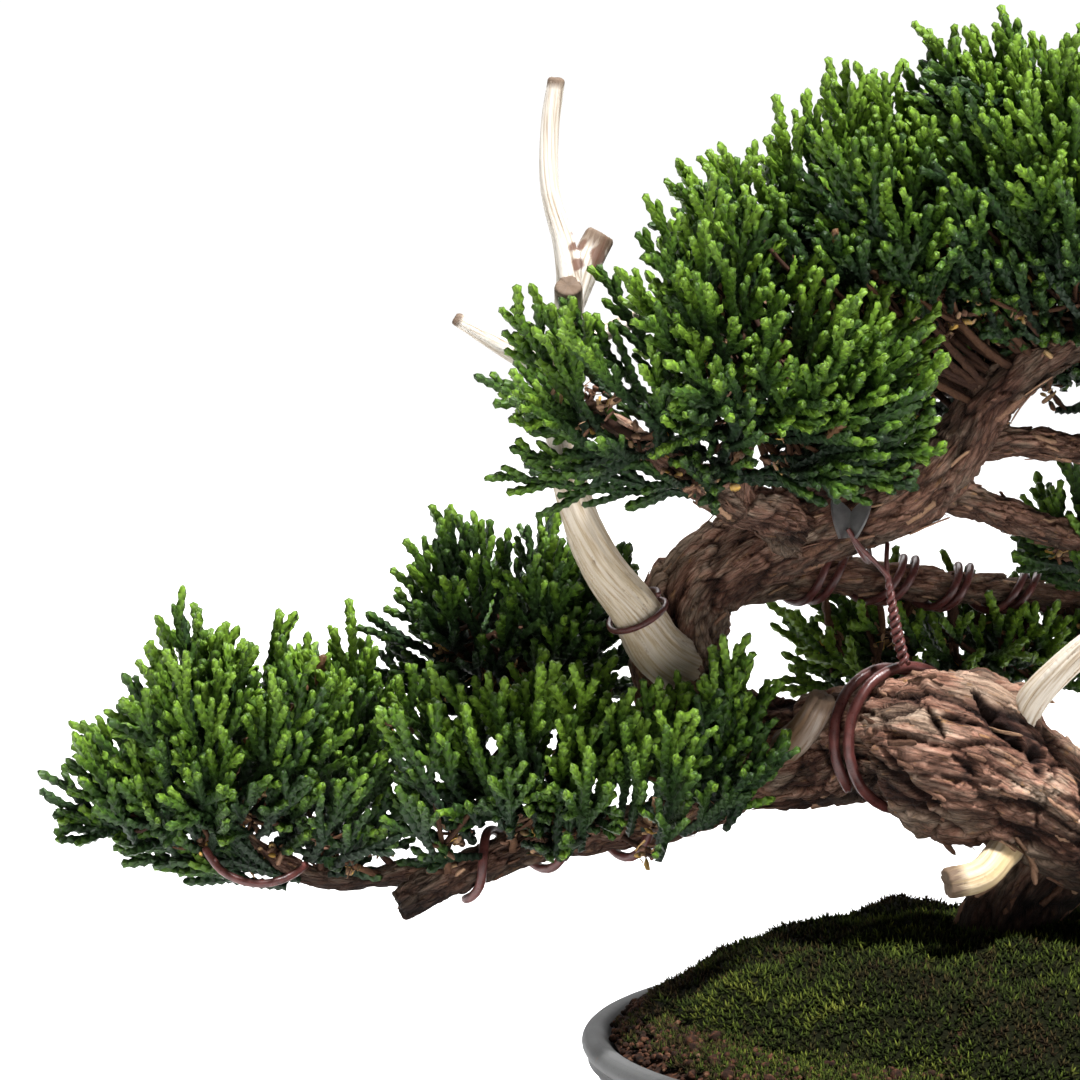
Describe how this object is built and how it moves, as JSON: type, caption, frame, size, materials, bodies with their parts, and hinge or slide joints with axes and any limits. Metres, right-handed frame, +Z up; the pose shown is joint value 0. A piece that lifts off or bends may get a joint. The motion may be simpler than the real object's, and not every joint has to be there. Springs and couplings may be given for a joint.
{
  "type": "potted bonsai tree",
  "caption": "Trained juniper bonsai with bleached deadwood, wired branches and cord-like foliage pads, growing in mossy soil in a round grey stoneware pot.",
  "frame": {"origin": "on the ground, under the middle of the whole object's box; the pot's axis stands 51.9 mm to its +X side", "axes": "+X to the right and +Y to the back with the object seen from the front, where the low branch reaches to the left; +Z up"},
  "size_m": [0.2757, 0.172, 0.264],
  "materials": {
    "stoneware": "unglazed, matt, with fine turning lines",
    "soil_grit": "rough, granular, damp soil",
    "moss": "soft, fine, matt",
    "bark": "rough, flaking, fibrous bark",
    "deadwood": "bare, sun-bleached, dry grain",
    "foliage": "scale leaves with a slight waxy gloss",
    "training_wire": "copper-brown anodised, half gloss",
    "guard_rubber": "smooth grey tube, split along one side",
    "drain_plastic": "moulded, matt",
    "clip_wire": "bare drawn wire"
  },
  "bodies": {
    "root": {"pot": "stoneware", "drain_mesh": "drain_plastic", "mesh_clip": "clip_wire", "soil": "soil_grit", "moss_right": "moss", "moss_back": "moss", "moss_back_left": "moss", "moss_left_front": "moss", "moss_front": "moss", "trunk": "bark", "branch_low_left": "bark", "branch_upper_left": "bark", "branch_back": "bark", "branch_right_upper": "bark", "branch_right_lower": "bark", "deadwood_spar": "deadwood", "deadwood_low": "deadwood", "deadwood_right": "deadwood", "deadwood_left": "deadwood", "foliage_left": "foliage", "foliage_middle_front": "foliage", "foliage_middle_back": "foliage", "foliage_upper_left": "foliage", "foliage_crown_left": "foliage", "foliage_crown_top": "foliage", "foliage_crown_back": "foliage", "foliage_crown_right": "foliage", "foliage_right_upper": "foliage", "foliage_right_lower": "foliage", "foliage_back": "foliage", "wire_trunk": "training_wire", "wire_back_first": "training_wire", "wire_back_second": "training_wire", "wire_low_left": "training_wire", "wire_spar": "training_wire", "wire_left_tail": "training_wire", "guy_wire": "training_wire", "wire_guard": "guard_rubber"}
  },
  "joints": []
}
